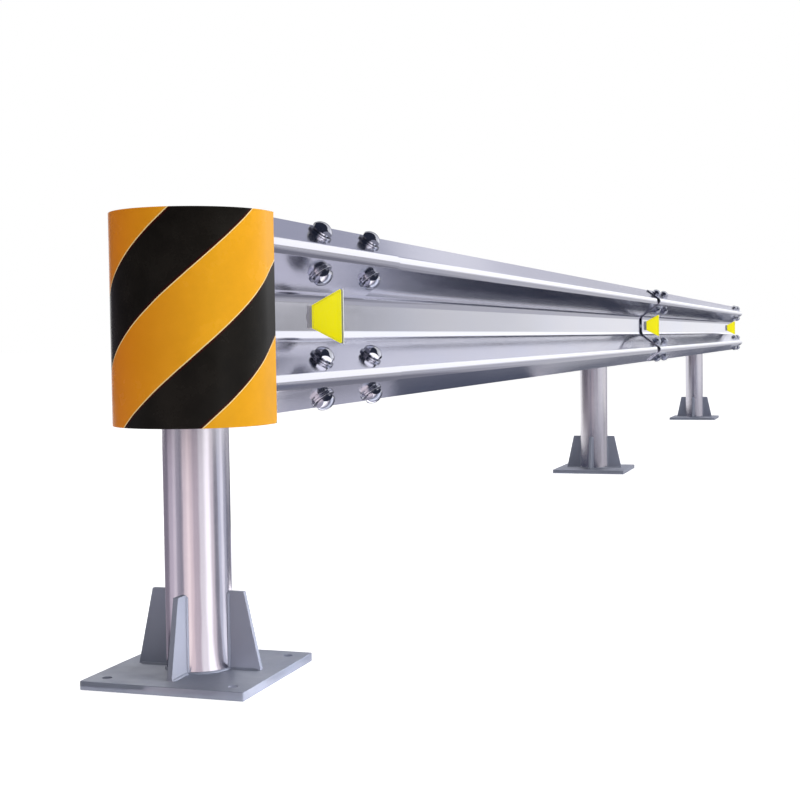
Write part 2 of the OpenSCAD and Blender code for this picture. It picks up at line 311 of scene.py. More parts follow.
def folded(corners, radii, steps=8, closed=False):
    """Line through corners, each one but the ends turned into an arc. An arc of radius r at a corner that
    turns by the angle a starts r tan(a/2) before the corner, and its points lie at centre - normal * r, the
    normal turning evenly with it. Returns the points, their normals to the left of the way, and the way
    travelled to each."""
    corners = np.array(corners, float)
    if closed:
        before, here, after = np.roll(corners, 1, 0), corners, np.roll(corners, -1, 0)
    else:
        before, here, after = corners[:-2], corners[1:-1], corners[2:]
    way_in, way_out = unit(here - before), unit(after - here)
    turn = np.arctan2(way_in[:, 0] * way_out[:, 1] - way_in[:, 1] * way_out[:, 0], (way_in * way_out).sum(1))
    radius = np.broadcast_to(radii, turn.shape) * np.sign(turn)
    left = np.stack([-way_in[:, 1], way_in[:, 0]], 1)
    centre = here - way_in * (np.abs(radius) * np.tan(np.abs(turn) / 2))[:, None] + left * radius[:, None]
    swing = turn[:, None] * np.linspace(0, 1, steps + 1)
    c, s = np.cos(swing), np.sin(swing)
    normals = np.stack([left[:, :1] * c - left[:, 1:] * s, left[:, :1] * s + left[:, 1:] * c], -1)
    points = centre[:, None] - normals * radius[:, None, None]
    points, normals = points.reshape(-1, 2), normals.reshape(-1, 2)
    if closed:
        points, normals = np.vstack([points, points[:1]]), np.vstack([normals, normals[:1]])
    else:
        points = np.vstack([corners[:1], points, corners[-1:]])
        normals = np.vstack([normals[:1], normals, normals[-1:]])
    return Line(points, normals, travelled(points))


def along(line, s):
    """Points and normals of a line at the ways s, read straight between its own."""
    return [np.stack([np.interp(s, line.run, rows[:, k]) for k in (0, 1)], -1)
            for rows in (line.points, line.normals)]


def rolled(thickness, radius, steps=3):
    """Edge of a sheet from its front to its back: a quarter circle at each face. A point lies r (1 - cos a)
    inside the edge and at the depth d = +-(t/2 - r) + r sin a, and its normal is cos a outwards and sin a
    off the middle."""
    turn = np.linspace(math.pi / 2, 0, steps + 1)
    turn = np.concatenate([turn, -turn[::-1]])
    side, out, off = np.repeat([1.0, -1.0], steps + 1), np.cos(turn), np.sin(turn)
    return radius * (1 - out), side * (thickness / 2 - radius) + radius * off, out, off


def slot_outline(long, wide, steps=16):
    """Round-ended slot: a half circle at each end, standing off the middle by half of what is longer than
    wide."""
    half = np.linspace(-math.pi / 2, math.pi / 2, steps + 1)
    turn = np.concatenate([half, half + math.pi])
    out = np.stack([np.cos(turn), np.sin(turn)], 1)
    off = np.repeat([(long - wide) / 2, (wide - long) / 2], steps + 1)
    return out * wide / 2 + np.stack([off, 0 * off], 1), out


def sheet_metal(shell, line, span, thickness, place, edge, slots=(), taper=None):
    """Folded sheet. The line is the middle of its section and is carried straight along the first axis of
    place. A point has e along the span, s along the line and d off the middle, and lies at (e, line(s) +
    normal(s) d). Both faces are grids over e and s at d = t/2 and -t/2, the four edges are rolled, and each
    slot's cell is left out of the grid and filled by four faces between the cell's sides and the slot's
    outline, whose wall is rolled too. taper(s) scales e about its middle."""

    def lay(e, s, d, ne=0.0, ns=0.0, nd=1.0):
        """Points, normals and sheet coordinates at (e, s, d), the normal leaning by (ne, ns, nd) in the same axes."""
        e, s, d, ne, ns, nd = np.broadcast_arrays(e, s, d, ne, ns, nd)
        p, n = along(line, s)
        n = unit(n)
        way = np.stack([n[..., 1], -n[..., 0]], -1)
        wide = e if taper is None else sum(span) / 2 + (e - sum(span) / 2) * taper(s)
        flat = np.concatenate([wide[..., None], p + n * d[..., None]], -1)
        lean = unit(np.concatenate([ne[..., None], way * ns[..., None] + n * nd[..., None]], -1))
        ease = thickness / 2 - d
        return place.point(flat), place.way(lean), np.stack([e + ne * ease, s + ns * ease], -1)

    def mitred(low, inner, high):
        """Ways along an edge, whose two ends give way to the edges that they meet."""
        return np.vstack([low + gap, np.repeat(inner[:, None], len(gap), 1), high - gap])

    e0, e1 = span
    s0, s1 = line.run[0], line.run[-1]
    cells = [(e, s, long, wide, long / 2 + SLOT_RIM, wide / 2 + SLOT_RIM) for e, s, long, wide in slots]
    es = sorted({round(v, 7) for e, s, _, _, ce, cs in cells for v in (e - ce, e + ce)})
    ss = sorted({round(v, 7) for e, s, _, _, ce, cs in cells for v in (s - cs, s + cs)})
    inner_e = np.array([v for v in es if e0 + END_STRIP < v < e1 - END_STRIP])
    inner_s = np.unique(np.round(np.concatenate([line.run[1:-1], ss]), 7))
    gap, depth, out, off = rolled(thickness, edge)
    grid_e = np.concatenate([[e0 + edge], inner_e, [e1 - edge]])
    grid_s = np.concatenate([[s0 + edge], inner_s, [s1 - edge]])

    # Both faces, without the slots' cells
    middle_e, middle_s = (grid_e[:-1] + grid_e[1:]) / 2, (grid_s[:-1] + grid_s[1:]) / 2
    solid = np.ones((len(middle_e), len(middle_s)), bool)
    for e, s, _, _, ce, cs in cells:
        solid &= ~((np.abs(middle_e - e) < ce)[:, None] & (np.abs(middle_s - s) < cs)[None])
    i, j = np.nonzero(solid)
    n = len(grid_s)
    quads = np.stack([i * n + j, (i + 1) * n + j, (i + 1) * n + j + 1, i * n + j + 1], 1)
    for face in (1, -1):
        p, normal, uv = lay(grid_e[:, None], grid_s[None], face * thickness / 2, nd=face)
        shell.polygons(p.reshape(-1, 3), normal.reshape(-1, 3), uv.reshape(-1, 2), quads)

    # The four edges
    for end, side in ((e0, -1), (e1, 1)):
        shell.grid(*lay(end - side * gap, mitred(s0, inner_s, s1), depth, ne=side * out, nd=off))
    for end, side in ((s0, -1), (s1, 1)):
        shell.grid(*lay(mitred(e0, inner_e, e1), end - side * gap, depth, ns=side * out, nd=off))

    # Each slot's wall, and the four faces round it
    for e, s, long, wide, ce, cs in cells:
        outline, outward = slot_outline(long, wide)
        wall = outline[:, None] + outward[:, None] * gap[:, None]
        wall, away = np.concatenate([wall, wall[:1]]), np.concatenate([outward, outward[:1]])[:, None]
        shell.grid(*lay(e + wall[..., 0], s + wall[..., 1], depth, ne=-away[..., 0] * out,
                        ns=-away[..., 1] * out, nd=off))
        quarter = len(outline) // 8
        start = np.array([quarter, 3 * quarter, 5 * quarter + 1, 7 * quarter + 1])
        cell = np.array([(e - ce, e + ce), (s - cs, s + cs)])
        ways = [np.concatenate([[low], grid[(grid > low + HAIR) & (grid < high - HAIR)], [high]])
                for (low, high), grid in zip(cell, (grid_e, grid_s))]
        for k in range(4):
            axis, far = k % 2, 1 - k // 2
            rim = wall[(start[k] + np.arange(2 * quarter + axis + 1)) % len(outline), 0] + (e, s)
            back = ways[1 - axis][::-1 if k in (0, 3) else 1]
            loop = np.vstack([rim, np.insert(back[:, None], axis, cell[axis, far], 1)])
            for face in (1, -1):
                p, normal, uv = lay(loop[:, 0], loop[:, 1], face * thickness / 2, nd=face)
                shell.polygons(p, normal, uv, np.arange(len(p))[None])


def turned(shell, place, line, steps):
    """Contour turned about the third axis: the contour's point (r, z) goes round to (r cos a, r sin a, z)
    for even steps of a, and its normals go round with it."""
    a = np.linspace(0, 2 * math.pi, steps + 1)[:, None]
    a[-1] = 0
    points = polar(line.points[:, 0], a, line.points[:, 1])
    normals = polar(line.normals[:, 0], a, line.normals[:, 1])
    around = np.linspace(0, 2 * math.pi, steps + 1)[:, None] * np.abs(line.points[:, 0]).max() + 0 * line.run
    shell.grid(place.point(points), place.way(normals),
               np.stack([around, np.broadcast_to(line.run, around.shape)], -1))


def joined(*lines):
    """One contour from several that follow each other."""
    points = np.vstack([line.points for line in lines])
    return Line(points, np.vstack([line.normals for line in lines]), travelled(points))


def arc(centre, radius, start, end, steps, side=1):
    """Arc from one angle off the Z axis to another: centre + r (sin a, cos a), with normals away from the
    centre or to it."""
    a = np.linspace(start, end, steps + 1)
    out = np.stack([np.sin(a), np.cos(a)], 1)
    return Line(np.array(centre) + radius * out, side * out, radius * np.abs(a - start))


def ring(inner, outer, low, high, edge, steps=3):
    """Section of a washer or tube, with rolled edges."""
    return folded([(inner, high), (outer, high), (outer, low), (inner, low)], edge, steps, closed=True)


def inset(corners, by):
    """Corners of a convex outline moved inwards along their mitres, so that every side moves by the same
    distance."""
    way = unit(np.roll(corners, -1, 0) - corners)
    inward = np.stack([-way[:, 1], way[:, 0]], 1)
    mitre = inward + np.roll(inward, 1, 0)
    return corners + mitre / (1 + (inward * np.roll(inward, 1, 0)).sum(1))[:, None] * by


def pressed(shell, corners, radius, contour, place, steps=6, covers=(True, True)):
    """Plate over a convex outline, counterclockwise. For each point (inset, height) of the contour there is
    one ring: the outline moved inwards by the inset, its corners rounded by what is left of the radius. The
    contour's normal leans the ring's outward normals. Flat faces close the first and last ring."""
    corners = np.array(corners, float)
    rings = [folded(inset(corners, by), max(radius - by, SHARP), steps, closed=True)
             for by in contour.points[:, 0]]
    flat = np.stack([r.points for r in rings])
    out = -np.stack([r.normals for r in rings])
    height = np.broadcast_to(contour.points[:, 1, None, None], flat.shape[:-1] + (1,))
    points = np.concatenate([flat, height], -1)
    normals = np.concatenate([out * -contour.normals[:, 0, None, None],
                              np.broadcast_to(contour.normals[:, 1, None, None], height.shape)], -1)
    points, normals = place.point(points), place.way(normals)
    uv = np.stack([flat[..., 0] + 0 * height[..., 0], flat[..., 1] + height[..., 0]], -1)
    shell.grid(points, normals, uv)
    for k, wanted in zip((0, -1), covers):
        if wanted:
            shell.cover(points[k, :-1], np.sign(contour.normals[k, 1]) * place.axes[2], uv[k, :-1])
    return flat


def plate_edge(low, high, edge):
    """Contour of a plain plate from its lower to its upper face, with rolled edges."""
    return folded([(3 * edge, low), (0, low), (0, high), (3 * edge, high)], edge, 3)


def hexagon(shell, place, across, height, both_ends=False, dome=0.0):
    """Hexagon head or nut. At the angle a off the middle of a flat, the side stands at r = w/2 / cos a. The
    chamfer is a cone that drops by tan 30 for what r is beyond 0.94 w/2, so the sides end on six arcs, as on
    a turned head. A domed head ends on a sphere of radius R instead, which drops by R - sqrt(R^2 - r^2) at r
    and is carried from the sides to the axis."""
    swing, slope, rim = np.linspace(-30, 30, 7), math.radians(30), 0.94 * across / 2
    a = np.radians(np.arange(6)[:, None] * 60 + swing)
    r = across / 2 / np.cos(np.radians(swing)) + 0 * a
    drop = dome - np.sqrt(dome ** 2 - r ** 2) if dome else (r - rim) * math.tan(slope)
    low = drop if both_ends else 0 * drop
    flats = np.stack([polar(r, a, low), polar(r, a, height - drop)], 2)
    side = polar(1.0, np.radians(np.arange(6) * 60), 0.0)[:, None, None]
    uv = np.stack([a * across / 2, 0 * a], -1)[:, :, None] + 0 * flats[..., :2]
    shell.grid(place.point(flats), place.way(side + 0 * flats), uv)
    ends = [] if dome else [(height, height - drop, 1.0)]
    if dome:
        r, a = r[..., None] * np.linspace(1, 0, 8), a[..., None] + np.zeros(8)
        rise = np.sqrt(dome ** 2 - r ** 2)
        cap = polar(r, a, height - dome + rise)
        shell.grid(place.point(cap), place.way(polar(r / dome, a, rise / dome)), cap[..., :2])
    if both_ends:
        ends.append((0.0, low, -1.0))
    for end, edge, up in ends:
        cone = np.stack([polar(r, a, edge), polar(rim, a, end)], 2)
        lean = polar(math.sin(slope), a, up * math.cos(slope))[:, :, None] + 0 * cone
        shell.grid(place.point(cone), place.way(lean), cone[..., :2])
        disc = cone[:, :-1, 1].reshape(-1, 3)
        shell.cover(place.point(disc), up * place.axes[2], disc[:, :2])
    if not both_ends:
        foot = flats[:, :-1, 0].reshape(-1, 3)
        shell.cover(place.point(foot), -place.axes[2], foot[:, :2])


def thread_end(shell, place, diameter, low, high, pitch, steps=24):
    """Threaded end of a bolt: ridges three tenths of the pitch deep on a cylinder, and a chamfer at the tip."""
    tip, deep = 0.001, 0.3 * pitch
    count = max(2, int((high - low - 2 * tip) / pitch))
    step = np.arange(2 * count + 1)
    r = np.where(step % 2, diameter / 2, diameter / 2 - deep)
    ridges = np.stack([r, low + step * pitch / 2], 1)[::-1]
    corners = np.vstack([[(0, high), (r[-1] - tip, high)], ridges, [(0, low)]])
    turned(shell, place, folded(corners, 0.0001, 1), steps)


def bead(shell, path, sides, leg, closed=False):
    """Weld bead along a straight or round path. Its section lies between the two sides it joins: a chord of
    the leg, bulged by an eighth in its middle, over a root below the corner. Ripples make the leg swell and
    shrink by a tenth every 2.4 mm, and open ends run out to a point."""
    path = np.array(path, float)
    sides = np.broadcast_to(np.array(sides, float), (len(path), 2, 3))
    run = travelled(path)
    ripple, pitch, bulge, depth = 0.10, 0.0024, 0.12, 0.3
    size = leg * (1 + ripple * np.sin(run / pitch * 2 * math.pi))
    if not closed:
        left = np.minimum(run, run[-1] - run)
        size = size * np.sqrt(np.clip(left / leg, 0, 1))
    a = np.linspace(0, math.pi / 2, 6)
    bow = 1 / (np.cos(a) + np.sin(a)) * (1 + bulge * np.sin(2 * a))
    face = np.stack([bow * np.cos(a), bow * np.sin(a)], -1)
    tilt = a * 0.6 + 0.31
    lean = np.stack([np.cos(tilt), np.sin(tilt)], -1)
    points = path[:, None] + np.einsum("kc,ncd->nkd", face, sides) * size[:, None, None]
    normals = np.einsum("kc,ncd->nkd", lean, sides)
    uv = np.stack(np.broadcast_arrays(run[:, None], a * leg), -1)
    shell.grid(points, normals, uv)
    root = np.stack([path + sides[:, 0] * size[:, None],
                     path - depth * leg * sides.sum(1) * (size / leg)[:, None],
                     path + sides[:, 1] * size[:, None]], 1)
    shell.grid(root, np.stack([-sides[:, 1], -sides.sum(1), -sides[:, 0]], 1), uv[:, :3])


def set_piece(shell, name, finish, slot, *nodes, mirrored=True):
    """Makes a piece of a shell. It rides on the part, takes the named finish, stands for CAD nodes where it names
    any, and shows in other pieces' reflections where mirrored says so. The slot is not used."""
    piece = shell.piece(name, finish_of(finish))
    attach(piece, "root")
    if nodes:
        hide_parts(*nodes)
    piece.visible_glossy = mirrored
    return piece


# Finishes


class Nodes:
    """Shorthand for the node tree of a material or a world."""

    def __init__(self, owner):
        self.owner = owner
        owner.use_nodes = True
        self.tree = owner.node_tree
        self.tree.nodes.clear()

    def add(self, kind, inputs=(), **settings):
        node = self.tree.nodes.new("ShaderNode" + kind)
        for key, value in settings.items():
            setattr(node, key, value)
        for key, value in dict(inputs).items():
            if isinstance(value, bpy.types.NodeSocket):
                self.tree.links.new(value, node.inputs[key])
            else:
                node.inputs[key].default_value = value
        return node

    def math(self, operation, *values, clamp=False):
        return self.add("Math", dict(enumerate(values)), operation=operation,
                        use_clamp=clamp).outputs[0]

    def ramp(self, value, low, high, to_low=0.0, to_high=1.0):
        node = self.add("MapRange", {0: value, 1: low, 2: high, 3: to_low, 4: to_high})
        return node.outputs[0]

    def mix(self, factor, a, b, blend="MIX"):
        node = self.add("Mix", {0: factor, 6: a, 7: b}, data_type="RGBA", blend_type=blend)
        return node.outputs[2]

    def noise(self, where, scale, detail=3.0, roughness=0.5):
        return self.add("TexNoise", {"Vector": where, "Scale": scale, "Detail": detail,
                                               "Roughness": roughness}).outputs[0]

    def stretched(self, where, scale):
        return self.add("Mapping", {"Vector": where, "Scale": scale}).outputs[0]

    def finish(self, shader, bump=None, strength=0.1, distance=0.001):
        if bump is not None:
            made = self.add("Bump", {"Height": bump, "Strength": strength, "Distance": distance})
            self.tree.links.new(made.outputs[0], shader.inputs["Normal"])
        end = self.add("OutputMaterial", {"Surface": shader.outputs[0]})
        end.is_active_output = True
        return self.owner


def rgba(values, by=1.0):
    """A colour times a factor, cut off at 1, with its alpha."""
    return tuple(min(1.0, v * by) for v in values) + (1.0,)


def zinc(name, base, rough, stretch=(1.0, 1.0, 1.0), metal=1.0, spangle=0.06, cell=70.0, streak=0.10, bump=0.05,
         ground_darkening=0.0, rim=1.0):
    """Hot-dip zinc: crystal spangle from cells, streaks drawn out along the way the steel was rolled, and a soft
    orange-peel wave; cells and streaks shift colour and roughness together. On the posts, where they are strongest,
    the upright streaks are also painted reflection streaks, standing in for the streaky shine of a round tube. Ground
    darkening makes the steel darker in noisy patches towards the ground, and rim dims the mirror shine at grazing
    angles."""
    n = Nodes(bpy.data.materials.new(name))
    where = n.add("TexCoord").outputs["Object"]
    drawn = n.stretched(where, stretch)
    cells = n.add("TexVoronoi", {"Vector": where, "Scale": cell, "Randomness": 1.0}, feature="F1")
    tone = n.add("SeparateColor", {0: cells.outputs["Color"]}).outputs[0]
    streaks = n.noise(drawn, 9.0, 4.0, 0.6)
    broad = n.noise(where, 1.6, 2.0)
    fine = n.noise(where, 160.0, 1.0)
    # Streaks: drawn-out tone of the rolled steel, and on the posts, where they are strongest, also painted reflection
    # streaks.
    colour = n.mix(n.ramp(streaks, 0.3, 0.7), rgba(base, 1 - streak), rgba(base, 1 + streak * 0.7))
    colour = n.mix(n.math("MULTIPLY", tone, spangle), colour, rgba(base, 1.22))
    cool = (base[0] * 0.90, base[1] * 0.95, min(1.0, base[2] * 1.06), 1.0)
    colour = n.mix(n.ramp(broad, 0.35, 0.75, 0.0, 0.6), colour, cool)
    # The colour darkens in noisy patches towards the ground, below 0.16 m.
    if ground_darkening:
        height = n.add("SeparateXYZ", {0: where}).outputs[2]
        low = n.math("MULTIPLY", n.ramp(height, 0.16, 0.0), n.ramp(n.noise(where, 22.0, 5.0), 0.35, 0.75))
        colour = n.mix(n.math("MULTIPLY", low, ground_darkening), colour, (0.17, 0.16, 0.15, 1.0))
    roughness = n.math("ADD", rough, n.ramp(streaks, 0.25, 0.75, -0.25 * rough, 0.35 * rough))
    roughness = n.math("ADD", roughness, n.math("MULTIPLY", tone, spangle * 0.7), clamp=True)
    height = n.math("ADD", streaks, n.math("MULTIPLY", fine, 0.08))
    shader = n.add("BsdfPrincipled", {"Base Color": colour, "Metallic": metal, "Roughness": roughness,
                                                "Specular Tint": (rim, rim, rim, 1.0)})
    return n.finish(shader, height, bump, 0.001)


def stripe_paint(settings):
    """Yellow and black sheeting. On the unrolled sheet, v + slope * u counts the stripes, and black lies where the
    count's fraction is nearer than a share to its middle. The distance to the nearest boundary draws a pale line on
    the yellow side, a painted highlight of the film's thin edge, and a dark red one on the black side. The yellow is
    painted a deeper orange on the side away from the traffic, as painted shade on the side of the nose that faces
    away from the light."""
    # The third width is that of the painted highlight along the yellow side of each film edge.
    black_share, lead, edge_glint, red_line = 0.25 - 0.018, 8.25, 0.0016, 0.0030
    n = Nodes(bpy.data.materials.new("stripe_sheeting"))
    uv = n.add("UVMap", uv_map="Sheet").outputs[0]
    u, v, _ = n.add("SeparateXYZ", {0: uv}).outputs
    where = n.add("TexCoord").outputs["Object"]
    wobble = n.math("MULTIPLY", n.math("SUBTRACT", n.noise(where, 30.0, 2.0), 0.5), 0.0012)
    count = n.math("ADD", n.math("ADD", v, n.math("MULTIPLY", u, settings.stripe_slope)), wobble)
    count = n.math("DIVIDE", n.math("SUBTRACT", count, settings.stripe_start), settings.stripe_period)
    phase = n.math("FRACT", n.math("ADD", count, lead))
    off = n.math("SUBTRACT", n.math("ABSOLUTE", n.math("SUBTRACT", phase, 0.5)), black_share)
    away = n.math("MULTIPLY", n.math("ABSOLUTE", off),
                  settings.stripe_period / math.hypot(1.0, settings.stripe_slope))
    black = n.math("LESS_THAN", off, 0.0)
    mottle = n.noise(where, 16.0, 5.0, 0.6)
    weave = n.add("TexVoronoi", {"Vector": where, "Scale": 330.0}, feature="F1").outputs["Distance"]
    yellow = n.mix(n.ramp(mottle, 0.35, 0.7), rgba(settings.yellow, 0.93), rgba(settings.yellow, 1.05))
    yellow = n.mix(n.ramp(weave, 0.0, 0.8, 0.0, 0.10), yellow, (0.70, 0.30, 0.01, 1.0))
    # Painted shade: the yellow turns deeper orange towards +Y, on the side of the nose away from the light.
    across = n.add("SeparateXYZ", {0: where}).outputs[1]
    yellow = n.mix(n.ramp(across, -0.27, -0.12, 0.0, 0.9), yellow, (0.78, 0.22, 0.004, 1.0))
    dark = n.mix(n.ramp(mottle, 0.35, 0.7), rgba(settings.black, 0.7), rgba(settings.black, 1.5))
    # Painted highlight: a pale line on the yellow side of each film edge, where the film's thin edge would catch the
    # light.
    yellow = n.mix(n.math("LESS_THAN", away, edge_glint), yellow, (0.93, 0.70, 0.33, 1.0))
    dark = n.mix(n.math("LESS_THAN", away, red_line), dark, (0.030, 0.002, 0.001, 1.0))
    colour = n.mix(black, yellow, dark)
    roughness = n.ramp(mottle, 0.3, 0.7, 0.20, 0.30)
    shader = n.add("BsdfPrincipled", {"Base Color": colour, "Roughness": roughness,
                                                "Specular IOR Level": 0.12})
    rise = n.math("ADD", n.math("MULTIPLY", n.ramp(away, 0.0, 0.0012), 0.15), n.math("MULTIPLY", weave, 0.05))
    return n.finish(shader, rise, 0.25, 0.0004)


def lens_plastic(settings):
    """Retroreflective plastic: cells of tiny prisms under a clear face, which glows by its own emission as painted
    light for the light that the prisms send back, and a painted dark olive shade down the moulded sides, told apart
    from the face by the way the surface looks along X."""
    n = Nodes(bpy.data.materials.new("delineator_plastic"))
    where = n.add("TexCoord").outputs["Object"]
    prisms = n.add("TexVoronoi", {"Vector": where, "Scale": 300.0}, feature="DISTANCE_TO_EDGE")
    prisms = prisms.outputs["Distance"]
    face = n.add("SeparateXYZ", {0: n.add("NewGeometry").outputs["True Normal"]}).outputs[0]
    side = n.ramp(n.math("ABSOLUTE", face), 0.75, 0.4)
    base = settings.lemon
    colour = n.mix(n.ramp(prisms, 0.0, 0.12), rgba((base[0] * 0.86, base[1] * 0.86, base[2])), rgba(base, 1.02))
    # Painted shade: the moulded sides are painted dark olive.
    colour = n.mix(side, colour, (0.09, 0.10, 0.01, 1.0))
    # Painted light: the lens glows by its own emission, standing in for the light that the prisms send back.
    shader = n.add("BsdfPrincipled", {
        "Base Color": colour, "Roughness": n.ramp(prisms, 0.0, 0.2, 0.42, 0.24), "Emission Color": colour,
        "Emission Strength": 0.45, "Coat Weight": 0.2, "Coat Roughness": 0.06})
    return n.finish(shader, prisms, 0.3, 0.0006)


ZINCS = {
    "rail_zinc": dict(stretch=(0.06, 2.0, 2.0), rough=0.105, streak=0.04, spangle=0.02, bump=0.005),
    # The posts' strong upright streaks are partly painted reflection streaks, standing in for the streaky shine of a
    # round tube.
    "post_zinc": dict(stretch=(3.0, 3.0, 0.10), rough=0.17, streak=0.14, spangle=0.03, bump=0.03, ground_darkening=0.05),
    "plate_zinc": dict(rough=0.42, metal=0.4, spangle=0.12, cell=55.0, bump=0.03, ground_darkening=0.1),
    "bracket_zinc": dict(rough=0.42, metal=0.1, spangle=0.05, bump=0.02),
    "bolt_zinc": dict(rough=0.10, spangle=0.03, streak=0.05, bump=0.02, rim=0.35),
}


def finish_of(name):
    """The named finish, made once."""
    found = bpy.data.materials.get(name)
    if found:
        return found
    colours = bpy.context.scene.guardrail_finish
    if name in ZINCS:
        return zinc(name, getattr(colours, name), **ZINCS[name])
    return stripe_paint(colours) if name == "stripe_sheeting" else lens_plastic(colours)


# Shapes of the part


def wave_line(rail, middle):
    """Middle line of the two-wave section in Y and Z, from the lower to the upper edge, and the two bolt
    rows of a wave as (distance before the valley, height). A crest's corner lies where its flanks would
    meet, r (1/cos - 1) before the crest, and an edge where the outer flank reaches the section's height; a
    row is the middle of a flank's straight part, the inner one moved towards the crest by the row shift."""
    steep = math.tan(rail.flank)
    peak = rail.depth + rail.crest_bend * (1 / math.cos(rail.flank) - 1)
    edge = (rail.height - rail.sheet * math.sin(rail.flank)) / 2
    valley, crest, edge = np.array([(0, rail.crest - peak / steep), (peak, rail.crest),
                                    (peak - (edge - rail.crest) * steep, edge)])
    upper = np.array([valley, crest, edge])
    both = np.vstack([upper[::-1] * (1, -1), upper])
    radii = [rail.crest_bend, rail.corner_bend, rail.corner_bend, rail.crest_bend]
    line = folded(np.stack([middle[0] - both[:, 0], middle[1] + both[:, 1]], 1), radii, 10)

    def straight_middle(start, end, before, after):
        way = end - start
        long = np.linalg.norm(way)
        return start + way / long * (long + before - after) / 2, way / long

    bent = rail.crest_bend * steep
    inner, up = straight_middle(valley, crest, rail.corner_bend * math.tan(rail.flank / 2), bent)
    outer, _ = straight_middle(crest, edge, bent, 0.0)
    return line, [inner + up * rail.row_shift, outer]


def nest_step(rail):
    """Forward step of a lapped sheet: one sheet and the gap, measured across the flank."""
    return (rail.sheet + rail.lap_gap) / math.cos(rail.flank)


def laps():
    """Length of a lap and the middles of the three laps. The terminal section ends where the first lap does,
    and beam 1 runs from the start of the first lap to the end of the second; the third follows at the same
    distance."""
    first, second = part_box("beam_1")[0].x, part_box("beam_1")[1].x
    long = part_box("terminal_section")[1].x - first
    first, second = first + long / 2, second - long / 2
    return long, (first, second, 2 * second - first)


def rail_places():
    """Name, node, span, lap middles, post bolts and place of each rail sheet. Beam 2 starts one step forward
    and runs back over one bay, turned about its far lap; the terminal section stands forward by one step."""
    rail, post = bpy.context.scene.guardrail_rail, bpy.context.scene.guardrail_post
    step = nest_step(rail)
    long, (first, second, third) = laps()
    turn = math.asin(step / (third - second - long / 2))
    c, s = math.cos(turn), math.sin(turn)
    pivot = np.array([third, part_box("beam_1")[1].y, 0])
    axes = np.array([(c, s, 0), (-s, c, 0), Z])
    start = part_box("terminal_section")[0].x
    return [
        ("rail_sheet_1", "beam_1", (first - long / 2, second + long / 2), (first, second), (0.0, post.pitch),
         upright(0)),
        ("rail_sheet_2", "beam_2", (second - long / 2, third + long / 2), (second, third),
         (post.pitch, 2 * post.pitch), at(pivot - pivot @ axes, *axes)),
        ("rail_sheet_terminal", "terminal_section", (start, first + long / 2), (first,), (0.0,),
         upright(0, -step)),
    ]


def rail_middle():
    """Y and Z of the middle line of the rear sheet's valley."""
    rail = bpy.context.scene.guardrail_rail
    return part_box("beam_1")[1].y - rail.sheet / 2, node_middle("beam_1", 2)


class GUARDRAIL_OT_rails(Operator):
    """Fold the three rail sheets, with their splice and post slots"""
    bl_idname = "guardrail.rails"
    bl_label = "Rail sheets"

    def execute(self, context):
        rail = context.scene.guardrail_rail
        middle = rail_middle()
        line, rows = wave_line(rail, middle)
        heights = [middle[1] + side * row[1] for side in (-1, 1) for row in rows]
        runs = np.interp(heights, line.points[:, 1], line.run)
        valley = float(np.interp(middle[1], line.points[:, 1], line.run))
        for name, node, span, middles, posts, place in rail_places():
            slots = [(x + side * rail.pitch / 2, run, rail.slot_length, rail.slot_width)
                     for x in middles for side in (-1, 1) for run in runs]
            slots += [(x, valley, rail.post_slot, rail.slot_width) for x in posts]
            shell = Shell()
            sheet_metal(shell, line, span, rail.sheet, place, rail.edge, slots)
            set_piece(shell, name, "rail_zinc", "rail_steel", node)
        return {"FINISHED"}


class GUARDRAIL_OT_nose(Operator):
    """Wrap the striped nose plate round the end"""
    bl_idname = "guardrail.nose"
    bl_label = "Nose plate"

    def execute(self, context):
        low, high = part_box("nose_plate")
        t, edge = context.scene.guardrail_rail.sheet, 0.0009
        radius = (high.y - low.y - t) / 2
        front, back, tip, end = low.y + t / 2, high.y - t / 2, low.x + t / 2, high.x
        line = folded([(end, front), (tip, front), (tip, back), (end, back)], radius, 48)
        shell = Shell()
        sheet_metal(shell, line, (low.z, high.z), t, spanning_up(), edge)
        piece = set_piece(shell, "nose_shell", "stripe_sheeting", "nose_stripes", "nose_plate", mirrored=False)
        uv = piece.data.uv_layers["Sheet"].uv
        flat = np.empty(2 * len(uv), np.float32)
        uv.foreach_get("vector", flat)
        flat = flat.reshape(-1, 2)
        unrolled = np.stack([flat[:, 1] - (end - tip - radius), flat[:, 0] - (low.z + high.z) / 2], 1)
        uv.foreach_set("vector", unrolled.ravel())
        return {"FINISHED"}


